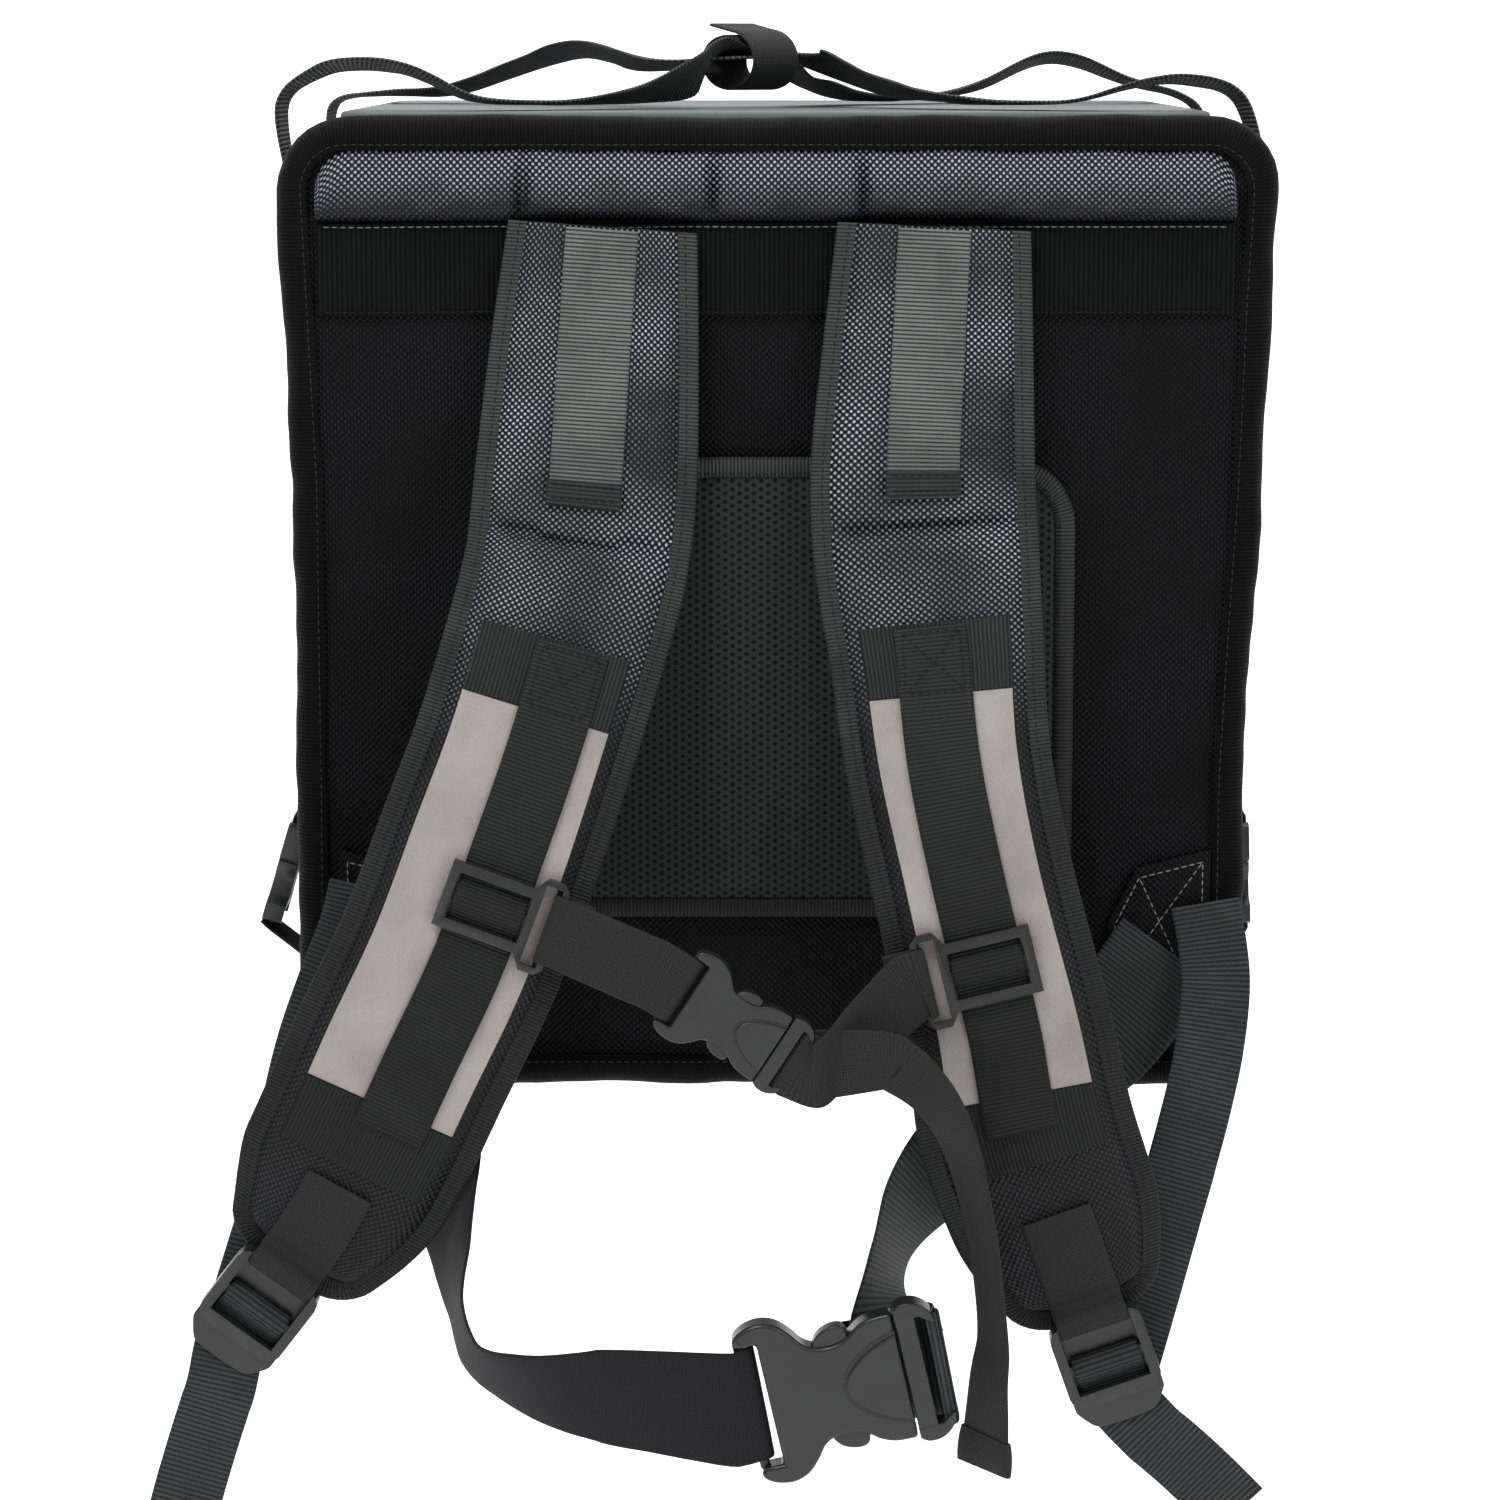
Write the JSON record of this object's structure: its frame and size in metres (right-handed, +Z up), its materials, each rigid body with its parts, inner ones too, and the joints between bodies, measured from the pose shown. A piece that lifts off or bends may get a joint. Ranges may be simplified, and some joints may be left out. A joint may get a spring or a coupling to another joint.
{
  "type": "backpack food delivery bag",
  "caption": "Box-shaped insulated backpack with padded shoulder straps, chest strap, waist belt, side straps and top carrying handles.",
  "frame": {"origin": "centre of the back panel's face, where the bag sits against its wearer's back", "axes": "+X to the right as the strap side is seen, +Y from the wearer into the bag, +Z up"},
  "size_m": [0.4925, 0.4698, 0.6528],
  "materials": {
    "weave": "coarse black nylon weave with a slight sheen",
    "lid": "smooth grey coated cloth",
    "webbing": "ribbed black webbing",
    "mesh": "open black air mesh",
    "reflective": "light grey reflective cloth",
    "plastic": "satin black moulded plastic"
  },
  "bodies": {
    "root": {"bag_shell": "weave", "lid_panel": "lid", "back_edge_binding": "webbing", "front_edge_binding": "webbing", "top_fabric_band": "weave", "yoke_band": "webbing", "mesh_pad": "mesh", "mesh_pad_binding": "webbing", "corner_gusset_left": "weave", "corner_gusset_right": "weave", "strap_pad_left": "weave", "strap_pad_right": "weave", "strap_binding_left": "webbing", "strap_binding_right": "webbing", "strap_top_webbing_left": "webbing", "strap_top_webbing_right": "webbing", "cross_band_upper_left": "webbing", "cross_band_upper_right": "webbing", "cross_band_lower_left": "webbing", "cross_band_lower_right": "webbing", "reflective_panel_left": "reflective", "reflective_panel_right": "reflective", "strap_webbing_left": "webbing", "strap_webbing_right": "webbing", "lock_tab_left": "webbing", "lock_tab_right": "webbing", "ladder_lock_left": "plastic", "ladder_lock_right": "plastic", "adjust_webbing_left": "webbing", "adjust_webbing_right": "webbing", "sternum_slider_left": "plastic", "sternum_slider_right": "plastic", "sternum_webbing_left": "webbing", "sternum_webbing_right": "webbing", "sternum_buckle_female": "plastic", "sternum_buckle_male": "plastic", "belt_webbing_left": "webbing", "belt_webbing_right": "webbing", "belt_buckle_female": "plastic", "belt_buckle_male": "plastic", "side_webbing_upper_left": "webbing", "side_webbing_upper_right": "webbing", "side_webbing_lower_left": "webbing", "side_webbing_lower_right": "webbing", "side_buckle_female_left": "plastic", "side_buckle_female_right": "plastic", "side_buckle_male_left": "plastic", "side_buckle_male_right": "plastic", "handle_near": "webbing", "handle_far": "webbing", "handle_wrap": "webbing"}
  },
  "joints": []
}
